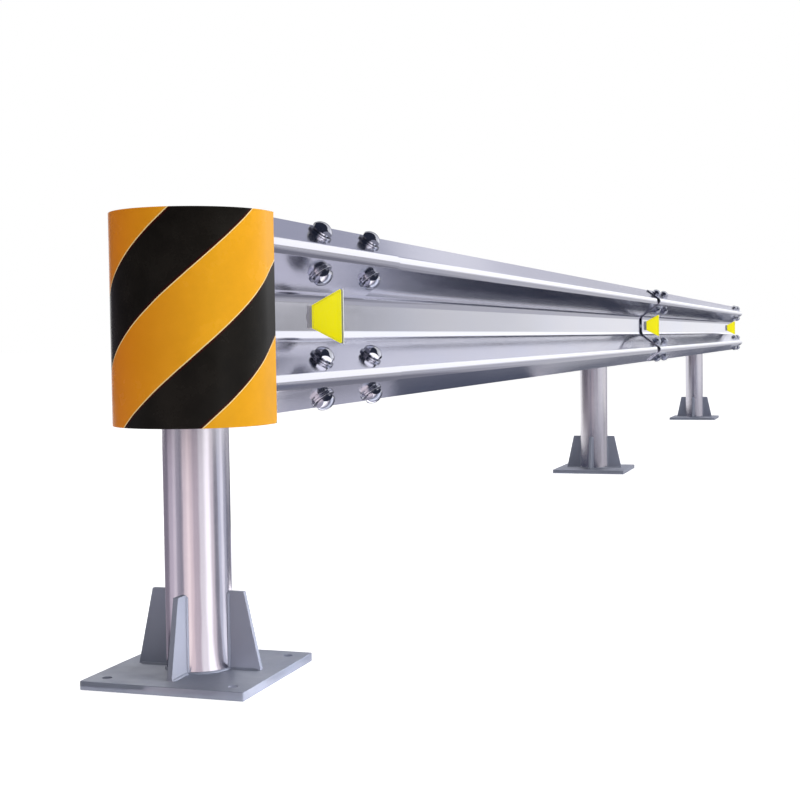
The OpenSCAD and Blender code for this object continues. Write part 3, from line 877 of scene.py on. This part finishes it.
class GUARDRAIL_OT_posts(Operator):
    """Turn the post tubes and their domed caps"""
    bl_idname = "guardrail.posts"
    bl_label = "Posts and caps"

    def execute(self, context):
        post, steps = context.scene.guardrail_post, context.scene.guardrail_studio.round_steps
        edge, soft, lip = 0.0008, 0.0015, 0.004
        for i in POSTS:
            low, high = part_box(f"post_{i}")
            place = upright(node_middle(f"post_{i}", 0))
            tube = Shell()
            turned(tube, place, ring(post.radius - post.wall, post.radius, low.z, high.z, edge), steps)
            set_piece(tube, f"post_tube_{i}", "post_zinc", "post_steel", f"post_{i}")

            rim = node_size(f"post_cap_{i}", 0) / 2
            foot, top = (corner.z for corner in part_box(f"post_cap_{i}"))
            dome = (rim ** 2 + post.cap_rise ** 2) / (2 * post.cap_rise)
            centre = top - dome
            turn = math.asin((rim - soft) / (dome - soft))
            bend = (rim - soft, centre + (dome - soft) * math.cos(turn))
            inside, thin = rim - post.cap_sheet, dome - post.cap_sheet
            under = math.asin(inside / thin)
            meet = np.array([(inside, centre + thin * math.cos(under))])
            contour = joined(
                arc((0, centre), dome, 0, turn, 16), arc(bend, soft, turn, math.pi / 2, 5),
                folded([(rim, bend[1]), (rim, foot), (inside, foot), (inside, foot + lip)], edge, 3),
                Line(meet, np.array([(-1.0, 0.0)]), np.zeros(1)), arc((0, centre), thin, under, 0, 12, -1))
            cap = Shell()
            turned(cap, place, contour, steps)
            set_piece(cap, f"post_dome_{i}", "post_zinc", "post_steel", f"post_cap_{i}")
        return {"FINISHED"}


class GUARDRAIL_OT_plates(Operator):
    """Cut the base plates and gussets, and weld them to the posts"""
    bl_idname = "guardrail.plates"
    bl_label = "Base plates, gussets and welds"

    def slab(self, place, side, thick, post):
        """Square plate with four round holes. Each of its faces is four parts, cut along the diagonals
        through the holes: the outline from one corner's middle to the next, half of that corner's hole, the
        centre, and half of the first hole."""
        shell, edge, corner, hole_edge = Shell(), 0.0012, 0.003, 0.0008
        square = np.array([(1, -1), (1, 1), (-1, 1), (-1, -1)]) * side / 2
        contour = folded([(2 * edge, 0), (0, 0), (0, thick), (2 * edge, thick)], edge, 3)
        flat = pressed(shell, square, corner, contour, place, 8, covers=(False, False))
        gap, depth, out, off = rolled(thick, hole_edge)
        hole, pitch = post.anchor_hole / 2, post.anchor_pitch / 2
        a = np.linspace(0, 2 * math.pi, 25)
        for spot in square / side * 2 * pitch:
            wall = polar(hole + gap, a[:, None], thick / 2 + depth) + (*spot, 0)
            lean = polar(-out, a[:, None], off + 0 * a[:, None])
            shell.grid(place.point(wall), place.way(lean), wall[..., :2])
        rim = flat[0, :-1]
        heading = np.arctan2(rim[:, 1], rim[:, 0])
        part = rim[np.abs(heading) < math.pi / 4 + HAIR]
        part = part[np.argsort(np.arctan2(part[:, 1], part[:, 0]))]
        halves = [np.radians(np.linspace(start, start - 180, 13)) for start in (45, 135)]
        first, second = (np.stack([np.cos(a), np.sin(a)], 1) * (hole + gap[0]) + (pitch, side * pitch)
                         for a, side in zip(halves, (1, -1)))
        loop = np.vstack([part, first, [(0, 0)], second])
        for quarter in range(4):
            c, s = round(math.cos(quarter * math.pi / 2)), round(math.sin(quarter * math.pi / 2))
            spun = loop @ np.array([(c, s), (-s, c)])
            for z, up in ((0.0, -1.0), (thick, 1.0)):
                points = np.concatenate([spun, np.full((len(spun), 1), z)], 1)
                shell.cover(place.point(points), up * place.axes[2], spun)
        return shell

    def execute(self, context):
        post = context.scene.guardrail_post
        sunk, corner, edge, clear = 0.002, 0.0012, 0.0006, 0.002
        low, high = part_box("base_plate_1")
        thick, side = high.z - low.z, high.x - low.x
        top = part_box("gusset_1_near")[1].z
        for i in POSTS:
            x = node_middle(f"post_{i}", 0)
            set_piece(self.slab(upright(x), side, thick, post), f"base_slab_{i}", "plate_zinc", "plate_steel",
                      f"base_plate_{i}", mirrored=False)
            welds = Shell()
            for name, turn in (("far", 0), ("back", 90), ("near", 180), ("front", 270)):
                c, s = math.cos(math.radians(turn)), math.sin(math.radians(turn))
                out, across = np.array([c, s, 0]), np.array([-s, c, 0])
                origin = np.array([x, 0, 0])
                corners = [(post.radius - sunk, thick), (post.radius + post.gusset_foot, thick),
                           (post.radius + post.gusset_top, top), (post.radius - sunk, top)]
                shell = Shell()
                half = post.gusset_sheet / 2
                pressed(shell, corners, corner, plate_edge(-half, half, edge), at(origin, out, Z, -across), 3)
                set_piece(shell, f"gusset_blade_{i}_{name}", "plate_zinc", "plate_steel", f"gusset_{i}_{name}",
                          mirrored=False)
                for face in (1, -1):
                    beside = across * face
                    root = origin + out * math.sqrt(post.radius ** 2 - half ** 2) + beside * half
                    z = np.linspace(thick, top - clear, 190)[:, None]
                    bead(welds, root + Z * z, (out, beside), post.bead)
                    r = np.linspace(0, post.gusset_foot - 2 * clear, 90)[:, None]
                    bead(welds, root + Z * thick + out * r, (beside, Z), post.bead)
            a = np.linspace(0, 2 * math.pi, 481)[:, None]
            out = polar(1.0, a, 0.0)
            bead(welds, (x, 0, thick) + out[:, 0] * post.radius, np.concatenate([out, 0 * out + Z], 1), post.bead,
                 closed=True)
            set_piece(welds, f"plate_welds_{i}", "plate_zinc", "plate_steel")
        return {"FINISHED"}


class GUARDRAIL_OT_blockouts(Operator):
    """Fold the hexagonal blockouts and their saddles"""
    bl_idname = "guardrail.blockouts"
    bl_label = "Blockouts"

    def execute(self, context):
        post, rail = context.scene.guardrail_post, context.scene.guardrail_rail
        t, edge, bolt_hole, clear, leg = post.blockout_sheet, 0.0008, 0.018, 0.003, 0.0045
        for i in POSTS:
            node = f"blockout_{i}"
            low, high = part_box(node)
            x, tall, middle = node_middle(node, 0), high.z - low.z, (high.z + low.z) / 2
            front = low.y + t / 2
            saddle = post.radius + rail.lap_gap + t / 2
            heel = post.saddle / 2 - post.saddle_lip
            right = np.array([(post.blockout_front / 2, front),
                              ((high.x - low.x - t) / 2, (front - post.radius) / 2),
                              (math.sin(heel) * saddle, -math.cos(heel) * saddle)])
            strip = folded(np.vstack([right[::-1] * (-1, 1), right]), post.blockout_bend, 8)
            place = spanning_up(x, middle)
            shell = Shell()
            hole = [(0.0, float(strip.run[-1]) / 2, bolt_hole, bolt_hole)]
            sheet_metal(shell, strip, (-tall / 2, tall / 2), t, place, edge, hole)
            a = np.linspace(-post.saddle / 2, post.saddle / 2, 41)
            spread = np.stack([np.sin(a), -np.cos(a)], 1)
            wrap = Line(spread * saddle, -spread, (a - a[0]) * saddle)
            sheet_metal(shell, wrap, (-tall / 2, tall / 2), t, place, edge)
            z = np.linspace(-tall / 2 + clear, tall / 2 - clear, 250)[:, None]
            for side in (-1, 1):
                out = np.array([side * math.sin(heel), -math.cos(heel), 0])
                beside = np.array([side * math.cos(heel), math.sin(heel), 0])
                toe = np.array([x, 0, middle]) + out * (saddle + t / 2) + beside * t * 0.62
                bead(shell, toe + Z * z, (out, beside), leg)
            set_piece(shell, f"blockout_fold_{i}", "post_zinc", "post_steel", node)
        return {"FINISHED"}


class GUARDRAIL_OT_splice_bolts(Operator):
    """Set the splice bolts, eight to a lap, square to the flanks"""
    bl_idname = "guardrail.splice_bolts"
    bl_label = "Splice bolts"

    def execute(self, context):
        rail, fit = context.scene.guardrail_rail, context.scene.guardrail_fasteners
        middle = rail_middle()
        _, rows = wave_line(rail, middle)
        places = {name: place for name, _, _, _, _, place in rail_places()}
        behind = rail.sheet + rail.lap_gap
        fronts = ("rail_sheet_terminal", "rail_sheet_2", "rail_sheet_2")
        for i, (x, front, more) in enumerate(zip(laps()[1], fronts, (behind, behind, 0.0))):
            place, shell = places[front], Shell()
            for column, side, k in itertools.product((-1, 1), (-1, 1), (0, 1)):
                row, lean = rows[k], side * (2 * k - 1)
                n = place.way(np.array([0, -math.cos(rail.flank), lean * math.sin(rail.flank)]))
                spot = np.array([x + column * rail.pitch / 2, middle[0] - row[0], middle[1] + side * row[1]])
                spin = math.radians(17 * ((7 * i + 5 * column + 3 * side + 2 * k) % 7))
                way = place.axes[0] * math.cos(spin) + np.cross(n, place.axes[0]) * math.sin(spin)
                face = at(place.point(spot) + n * rail.sheet / 2, way, np.cross(n, way), n)
                self.bolt(shell, face, fit, rail.sheet + more)
            set_piece(shell, f"splice_bolts_{i + 1}", "bolt_zinc", "rail_steel")
        return {"FINISHED"}

    def bolt(self, shell, place, fit, grip):
        """Flat washer, spring washer and domed hexagon head on the face at height 0; shank, washer, nut and
        thread end behind the grip."""
        washer, shank, plate, collar, edge = fit.splice_washer / 2, fit.splice_shank / 2, 0.0035, 0.007, 0.0007
        turned(shell, place, ring(shank, washer, 0.0, plate, edge), 32)
        turned(shell, place, ring(shank, fit.splice_head * 0.45, plate, collar, 0.0006), 32)
        hexagon(shell, place.raised(collar), fit.splice_head, fit.splice_height, dome=fit.splice_dome)
        back = Place(place.raised(-grip).origin, place.axes * [[1], [-1], [-1]])
        turned(shell, place, ring(0.001, shank, -grip - 0.004, collar, 0.0003, 1), 20)
        turned(shell, back, ring(shank, fit.splice_nut * 0.65, 0.0, plate, edge), 32)
        hexagon(shell, back.raised(plate), fit.splice_nut, fit.splice_nut_height, both_ends=True)
        thread_end(shell, back, 2 * shank, 0.012, 0.0235, fit.thread)


class GUARDRAIL_OT_post_bolts(Operator):
    """Set the long bolts through rail, blockout and post"""
    bl_idname = "guardrail.post_bolts"
    bl_label = "Post bolts"

    def execute(self, context):
        fit, post = context.scene.guardrail_fasteners, context.scene.guardrail_post
        shank, washer, plate, seat, half_pad = fit.post_shank / 2, 0.015, 0.0025, 0.002, 0.02
        for i in POSTS:
            x, z = node_middle(f"post_{i}", 0), node_middle("beam_1", 2)
            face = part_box(f"reflector_bracket_{i}")[1].y - fit.bracket_sheet
            shell = Shell()
            front = at((x, face, z), X, Z, -Y)
            turned(shell, front, ring(shank, washer, 0.0, plate, 0.0006), 32)
            hexagon(shell, front.raised(plate), fit.post_head, 0.008, dome=0.03)
            turned(shell, front, ring(0.001, shank, face - post.radius - seat, plate, 0.0003, 1), 24)
            pad = arc((0, 0), post.radius + seat, -0.33, 0.33, 12)
            sheet_metal(shell, pad, (z - half_pad, z + half_pad), 0.0036, spanning_up(x), 0.0007)
            back = at((x, post.radius + 0.0035, z), X, -Z, Y)
            hexagon(shell, back, fit.post_head, 0.013, both_ends=True)
            thread_end(shell, back, fit.post_shank, 0.009, 0.021, fit.thread)
            set_piece(shell, f"post_bolt_{i}", "rail_zinc", "rail_steel", mirrored=False)
        return {"FINISHED"}


class GUARDRAIL_OT_delineators(Operator):
    """Fold the brackets, whose foot narrows to the lens's own outline, and mould the delineators with a
    raised rim"""
    bl_idname = "guardrail.delineators"
    bl_label = "Brackets and delineators"

    def execute(self, context):
        fit = context.scene.guardrail_fasteners
        t, rim, rim_drop = fit.bracket_sheet, 0.0022, 0.0012
        for i in POSTS:
            low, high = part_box(f"reflector_bracket_{i}")
            lens_low, lens_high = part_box(f"reflector_{i}")
            z = (low.z + high.z) / 2
            foot, wide, slim = fit.bracket_height / 2, (high.z - low.z) / 2, fit.lens_narrow / 2
            line = folded([(high.x, high.y - t / 2), (low.x + t / 2, high.y - t / 2), (low.x + t / 2, low.y)],
                          t * 0.9, 6)
            reach = line.run[-1]
            start = reach - (lens_high.y - low.y)
            ways, halves = [start - 0.001, start, reach], [foot, slim, wide]
            runs = np.unique(np.concatenate([line.run, np.linspace(ways[0], reach, 8)[:-1]]))
            shell = Shell()
            sheet_metal(shell, Line(*along(line, runs), runs), (z - foot, z + foot), t, spanning_up(), 0.0004,
                        taper=lambda s, w=ways, h=halves: np.interp(s, w, h) / h[0])
            set_piece(shell, f"bracket_fold_{i}", "bracket_zinc", "rail_steel", f"reflector_bracket_{i}",
                      mirrored=False)

            thick = lens_high.x - lens_low.x
            face = thick - rim_drop
            corners = [(lens_high.y, z - slim), (lens_high.y, z + slim), (lens_low.y, lens_high.z),
                       (lens_low.y, lens_low.z)]
            contour = folded([(0.004, 0), (0, 0), (0, thick), (rim, thick), (rim + 0.0006, face),
                              (rim + 0.0026, face)], [0.0008, 0.0008, 0.0003, 0.0003], 3)
            lens = Shell()
            pressed(lens, corners, 0.0025, contour, at((lens_high.x, 0, 0), Y, Z, -X), 5)
            set_piece(lens, f"lens_{i}", "delineator_plastic", "lemon", f"reflector_{i}", mirrored=False)
        return {"FINISHED"}


class GUARDRAIL_OT_studio(Operator):
    """Set up the floor, the surround, the lights and the camera"""
    bl_idname = "guardrail.studio"
    bl_label = "Studio"

    def card(self, name, points, faces, glows):
        """Plain glowing card that only reflections see. Each face has two colours, the second one for a
        reflection that came by way of one other surface."""
        mesh = bpy.data.meshes.new(name)
        mesh.from_pydata(np.asarray(points, float).tolist(), [], faces)
        sizes = np.array([len(face) for face in faces])
        n = Nodes(bpy.data.materials.new(name + "_glow"))
        seen = []
        for k, layer in enumerate(("Straight", "Passed")):
            made = mesh.color_attributes.new(layer, "FLOAT_COLOR", "CORNER")
            tints = np.array([(*glow[k], 1.0) for glow in glows])
            made.data.foreach_set("color", np.repeat(tints, sizes, 0).ravel())
            seen.append(n.add("VertexColor", layer_name=layer).outputs[0])
        depth = n.add("LightPath").outputs["Glossy Depth"]
        glow = n.mix(n.math("COMPARE", depth, 2.0, 0.5), *seen)
        mesh.materials.append(n.finish(n.add("Emission", {"Color": glow, "Strength": 1.0})))
        card = linked(name, mesh)
        card.visible_camera = card.visible_diffuse = card.visible_shadow = card.visible_transmission = False

    def sheets(self, name, *rows):
        """Several rectangles on one card, each given by two opposite corners with one axis in common, and
        its colours."""
        points, faces = [], []
        for low, high, *_ in rows:
            low, high = np.array(low, float), np.array(high, float)
            flat = int(np.argmin(np.abs(high - low)))
            u, v = (np.eye(3)[k] * (high - low)[k] for k in range(3) if k != flat)
            faces.append(tuple(range(len(points), len(points) + 4)))
            points += [low, low + u, low + u + v, low + v]
        self.card(name, points, faces, [(row[2], row[-1]) for row in rows])

    def sweep(self, name, height, *cells):
        """Card of ring sectors on the floor about the first post. A cell runs from one radius to another and
        from one azimuth to another, and has its colours; the point at azimuth a is (r cos a, r sin a)."""
        points, faces = [], []
        for (near, far), (start, end), *_ in cells:
            a = np.radians(np.linspace(start, end, 6))
            faces.append(tuple(range(len(points), len(points) + 12)))
            points += [*polar(near, a, height), *polar(far, a[::-1], height)]
        self.card(name, points, faces, [(cell[2], cell[-1]) for cell in cells])

    def streaks(self, name, height, rings, bounds, glows):
        """Card of wavy streaks on the floor about the first post, which its round side shows drawn out along
        its height. The boundary j stands at its own azimuth plus 2.4 degrees times sin(2.3 j + 1.9 k) at the
        ring k."""
        j, k = np.meshgrid(np.arange(len(bounds)), np.arange(len(rings)))
        inner = (j > 0) & (j < len(bounds) - 1)
        a = np.radians(np.array(bounds)[j] + 2.4 * np.sin(2.3 * j + 1.9 * k) * inner)
        points = polar(np.array(rings)[k], a, height).reshape(-1, 3)
        spot = np.arange(j.size).reshape(j.shape)
        faces = np.stack([spot[:-1, :-1], spot[1:, :-1], spot[1:, 1:], spot[:-1, 1:]], -1)
        both = [(tint, tint) for tint in glows]
        self.card(name, points, faces.reshape(-1, 4).tolist(), both * (len(rings) - 1))

    def lamp(self, name, centre, target, size, power, spread=math.pi):
        """Soft rectangular light that looks at a point; spread is the full angle of its cone."""
        data = bpy.data.lights.new(name, "AREA")
        data.shape, data.energy, data.spread = "RECTANGLE", power, spread
        data.size, data.size_y = size
        look = unit(np.array(centre, float) - target)
        side = unit(np.cross(Z, look))
        made = self.stand(linked(name, data), centre, side, np.cross(look, side), look)
        made.visible_camera = made.visible_glossy = False

    def stand(self, thing, place, right, up, back):
        """Sets a lamp or camera down at a place, with its own three axes along the given ones."""
        basis = Matrix(np.stack([right, up, back], 1).tolist()).to_4x4()
        basis.translation = place
        thing.matrix_world = basis
        return thing

    def seen(self, n):
        """1 where the camera sees a surface straight, in a reflection or through glass, and 0 where it only
        sheds light."""
        ray = n.add("LightPath").outputs
        return n.math("MAXIMUM", n.math("MAXIMUM", ray["Is Camera Ray"], ray["Is Glossy Ray"]),
                      ray["Is Transmission Ray"])

    def execute(self, context):
        scene, studio = context.scene, context.scene.guardrail_studio
        scene.view_settings.view_transform = "Standard"

        mesh = bpy.data.meshes.new("floor")
        mesh.from_pydata([(-60, -60, 0), (70, -60, 0), (70, 60, 0), (-60, 60, 0)], [], [(0, 1, 2, 3)])
        n = Nodes(bpy.data.materials.new("floor_white"))
        lit = n.add("BsdfDiffuse", {"Color": (0.8, 0.8, 0.8, 1.0)})
        glow = n.add("Emission", {"Strength": n.math("MULTIPLY", self.seen(n), 0.60)})
        mesh.materials.append(n.finish(n.add("AddShader", {0: lit.outputs[0], 1: glow.outputs[0]})))
        linked("floor", mesh)

        scene.world = scene.world or bpy.data.worlds.new("surround")
        n = Nodes(scene.world)
        strength = n.ramp(self.seen(n), 0.0, 1.0, studio.fill, 1.0)
        back = n.add("Background", {"Color": (1.0, 1.0, 1.0, 1.0), "Strength": strength})
        n.add("OutputWorld", {"Surface": back.outputs[0]})

        self.lamp("key", (1.0, -6.5, 4.0), (1.0, 0.0, 0.4), (8.0, 3.0), 300.0)
        self.lamp("top", (4.0, -1.4, 6.0), (4.0, -0.2, 0.5), (14.0, 2.4), 150.0)
        self.lamp("front", (-6.0, -1.6, 3.2), (-0.4, 0.0, 0.6), (3.0, 2.0), 22.0)
        self.lamp("low", (0.15, -2.0, 0.07), (-0.08, -0.05, 0.08), (0.3, 0.08), 0.6, math.radians(18))
        self.cards()
        scene.camera = self.camera(studio)
        return {"FINISHED"}

    def cards(self):
        """The cards for the rail's reflections and for the posts'. Where a row has two colours, the second
        one is what shows by way of one other surface."""
        slate, lilac, night = (0.085, 0.095, 0.14), (0.53, 0.53, 0.64), (0.03, 0.035, 0.055)
        dim, low, mid = (0.02, 0.025, 0.05), (0.34, 0.34, 0.40), (0.60, 0.60, 0.68)
        # Floor beneath the rail, in its lower flanks
        self.sheets("card_floor",
                    ((0.45, -0.35, 0.004), (1.95, 1.0, 0.004), lilac),
                    ((1.95, -0.35, 0.004), (30.0, 1.3, 0.004), slate))
        # Dark room on the side of the camera, with one pale band, in the faces towards the nose
        self.sheets("card_behind",
                    ((-7.5, -12.0, 0.0), (-7.5, 7.0, 12.0), night),
                    ((-7.5, -12.0, 1.6), (4.0, -12.0, 12.0), night),
                    ((-7.5, -12.0, 9.0), (6.0, 7.0, 9.0), night),
                    ((-7.4, -6.0, 0.45), (-7.4, 7.0, 0.95), (0.42, 0.43, 0.50)),
                    ((-7.5, 7.0, 0.0), (6.0, 7.0, 12.0), (0.12, 0.11, 0.13)))
        # Wall beyond the far end, in the rail's long reflections: upright strips that are brighter higher up, and a
        # part in four heights to their left
        strips = ((-30.0, -10.5, 0.54, (1.05, 1.04, 1.14)), (-10.5, -9.8, 0.70, (1.0, 1.0, 1.08)),
                  (-9.8, -8.9, 0.82, (0.18, 0.19, 0.25)), (-8.9, -6.5, 0.86, dim), (-6.5, 0.0, 1.06, dim))
        self.sheets("card_ahead", *(
            ((30.0, right, bottom), (30.0, left, top), (0.97 * grey, 0.97 * grey, grey), passed)
            for right, left, ground, passed in strips
            for bottom, top, grey in ((0.0, 1.6, ground), (1.6, 2.3, 1.08), (2.3, 14.0, 1.48))),
            ((30.0, 0.0, 0.0), (30.0, 12.0, 6.0), mid),
            ((30.0, 0.0, 6.0), (30.0, 12.0, 7.6), (0.62, 0.62, 0.72)),
            ((30.0, 0.0, 7.6), (30.0, 12.0, 9.7), (0.84, 0.84, 0.94)),
            ((30.0, 0.0, 9.7), (30.0, 12.0, 16.0), (0.40, 0.41, 0.52)))
        # Wavy tones round the first post's foot, in the post's side
        self.streaks(
            "card_streaks", 0.006, (0.07, 0.2, 0.42, 0.62, 0.85, 1.15, 1.5, 1.9, 2.5, 3.3, 4.6, 7.4),
            (40, 92, 116, 130, 143, 156, 170, 181, 192, 213, 232, 251, 264, 281, 294, 307, 322, 332),
            ((0.30, 0.27, 0.33), (0.70, 0.63, 0.72), (1.0, 0.92, 1.0), (0.52, 0.49, 0.57), (0.40, 0.38, 0.45),
             (1.15, 1.0, 1.03), (1.5, 1.3, 1.28), (1.15, 0.98, 1.0), (0.80, 0.70, 0.76), (1.25, 1.2, 1.25),
             (1.9, 1.85, 1.9), (1.0, 0.92, 0.98), (0.30, 0.30, 0.36), (0.80, 0.84, 0.98), (1.3, 1.32, 1.45),
             (0.60, 0.62, 0.72), (0.20, 0.21, 0.28)))
        # Ground along the rail on the traffic side, in the outer flanks and the post's right edge
        self.sweep("card_ground", 0.005,
                   ((0.07, 0.9), (332, 357), (3.2, 3.1, 3.2)),
                   ((0.9, 2.7), (332, 357), (0.25, 0.25, 0.30), low),
                   ((2.7, 3.85), (332, 357), (0.42, 0.42, 0.47), low),
                   ((3.85, 16.0), (332, 359), (0.58, 0.58, 0.63), (1.22, 1.22, 1.28)),
                   ((16.0, 45.0), (332, 359), (0.58, 0.58, 0.63), (0.10, 0.11, 0.14)))
        # Dark patch beside the post's foot, in the lower end of its left side
        self.sweep("card_skirt", 0.008, ((0.07, 0.42), (80, 168), (0.06, 0.065, 0.09)))

    def camera(self, studio):
        """Camera at its place, with its right and up axes turned by the roll about the way ahead."""
        data = bpy.data.cameras.new("camera")
        data.lens, data.sensor_width, data.sensor_fit = studio.lens, 36.0, "HORIZONTAL"
        data.clip_end = 200.0
        yaw, pitch, roll = studio.turn
        ahead = np.array([math.cos(yaw) * math.cos(pitch), math.sin(yaw) * math.cos(pitch), math.sin(pitch)])
        right = np.array([math.sin(yaw), -math.cos(yaw), 0.0])
        up = np.cross(right, ahead)
        c, s = math.cos(roll), math.sin(roll)
        return self.stand(linked("camera", data), studio.place, c * right + s * up, c * up - s * right, -ahead)


class GUARDRAIL_PT_sidebar(Panel):
    """Guardrail pieces in the sidebar"""
    bl_idname = "GUARDRAIL_PT_sidebar"
    bl_label = "Guardrail section"
    bl_space_type = "VIEW_3D"
    bl_region_type = "UI"
    bl_category = "Guardrail"

    def draw(self, context):
        layout = self.layout
        for made in OPERATORS:
            layout.operator(made.bl_idname)
        for group in GROUPS:
            settings = getattr(context.scene, group)
            box = layout.box()
            for name in settings.__annotations__:
                box.prop(settings, name)


GROUPS = {"guardrail_rail": GUARDRAIL_PG_rail, "guardrail_post": GUARDRAIL_PG_post,
          "guardrail_fasteners": GUARDRAIL_PG_fasteners, "guardrail_finish": GUARDRAIL_PG_finish,
          "guardrail_studio": GUARDRAIL_PG_studio}
OPERATORS = (GUARDRAIL_OT_rails, GUARDRAIL_OT_nose, GUARDRAIL_OT_posts, GUARDRAIL_OT_plates,
             GUARDRAIL_OT_blockouts, GUARDRAIL_OT_splice_bolts, GUARDRAIL_OT_post_bolts,
             GUARDRAIL_OT_delineators, GUARDRAIL_OT_studio)


def register():
    for made in (*GROUPS.values(), *OPERATORS, GUARDRAIL_PT_sidebar):
        bpy.utils.register_class(made)
    for name, group in GROUPS.items():
        setattr(bpy.types.Scene, name, PointerProperty(type=group))


def unregister():
    for name in GROUPS:
        delattr(bpy.types.Scene, name)
    for made in reversed((*GROUPS.values(), *OPERATORS, GUARDRAIL_PT_sidebar)):
        bpy.utils.unregister_class(made)


def main():
    """Registers the add-on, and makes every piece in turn."""
    register()
    bpy.ops.guardrail.rails()
    bpy.ops.guardrail.nose()
    bpy.ops.guardrail.posts()
    bpy.ops.guardrail.plates()
    bpy.ops.guardrail.blockouts()
    bpy.ops.guardrail.splice_bolts()
    bpy.ops.guardrail.post_bolts()
    bpy.ops.guardrail.delineators()
    bpy.ops.guardrail.studio()


if __name__ == "__main__":
    main()
